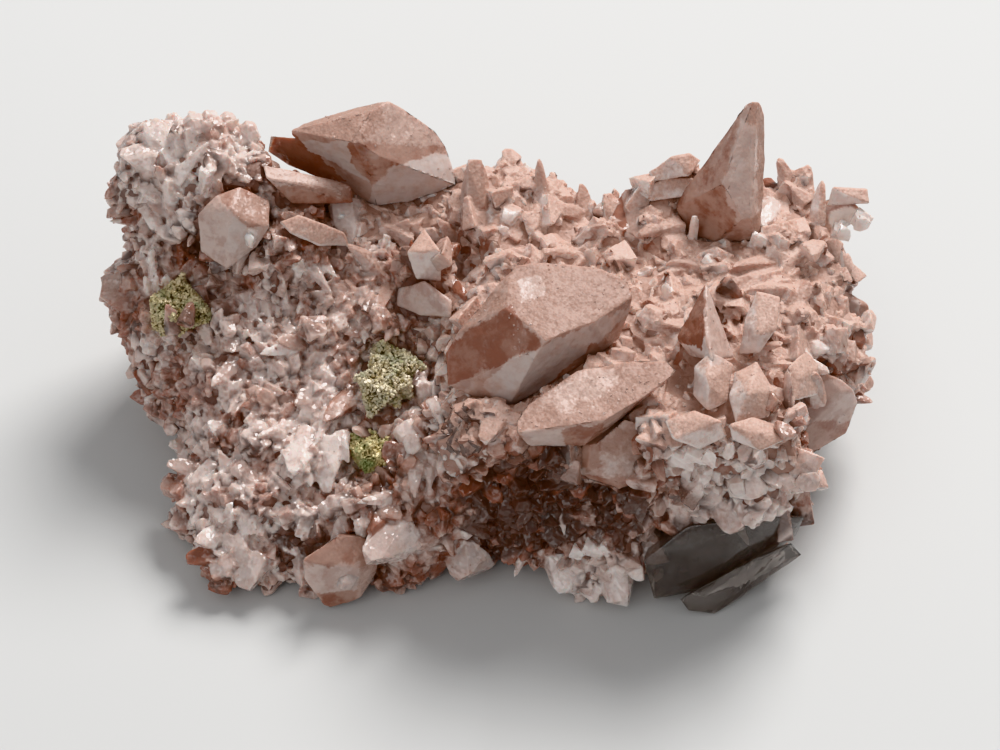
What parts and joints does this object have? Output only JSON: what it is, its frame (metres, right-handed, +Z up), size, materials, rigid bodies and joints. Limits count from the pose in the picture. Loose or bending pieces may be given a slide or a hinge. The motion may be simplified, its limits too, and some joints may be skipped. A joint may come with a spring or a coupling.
{
  "type": "mineral specimen",
  "caption": "Loose calcite specimen: a crust of small pointed crystals with larger iron-stained and clear crystals and grainy chalcopyrite, resting on a flat broken face.",
  "frame": {"origin": "centre of the bounding box in plan, at the height of the flat broken face that the specimen rests on", "axes": "+X along the specimen towards the end with the spire, +Y to the back, +Z up"},
  "size_m": [0.0939, 0.051, 0.04],
  "materials": {
    "calcite_crust": "sparkling crust of small glassy crystals, dusted pinkish brown on top",
    "stained_calcite": "translucent, stained red-brown, with a dusty upper face",
    "clear_calcite": "clear to smoky grey, glassy",
    "chalcopyrite": "granular, brassy with a green tarnish"
  },
  "bodies": {
    "root": {"calcite_crust": "calcite_crust", "back_left_crystal": "stained_calcite", "centre_crystal": "stained_calcite", "front_crystal": "stained_calcite", "round_front_crystal": "stained_calcite", "spire_crystal": "stained_calcite", "right_back_crystal": "stained_calcite", "right_end_crystal": "stained_calcite", "right_front_crystal": "stained_calcite", "left_shoulder_crystal": "stained_calcite", "low_left_crystal": "stained_calcite", "clear_side_crystal": "clear_calcite", "clear_low_crystal": "clear_calcite", "chalcopyrite_left": "chalcopyrite", "chalcopyrite_front": "chalcopyrite", "chalcopyrite_middle": "chalcopyrite"}
  },
  "joints": []
}
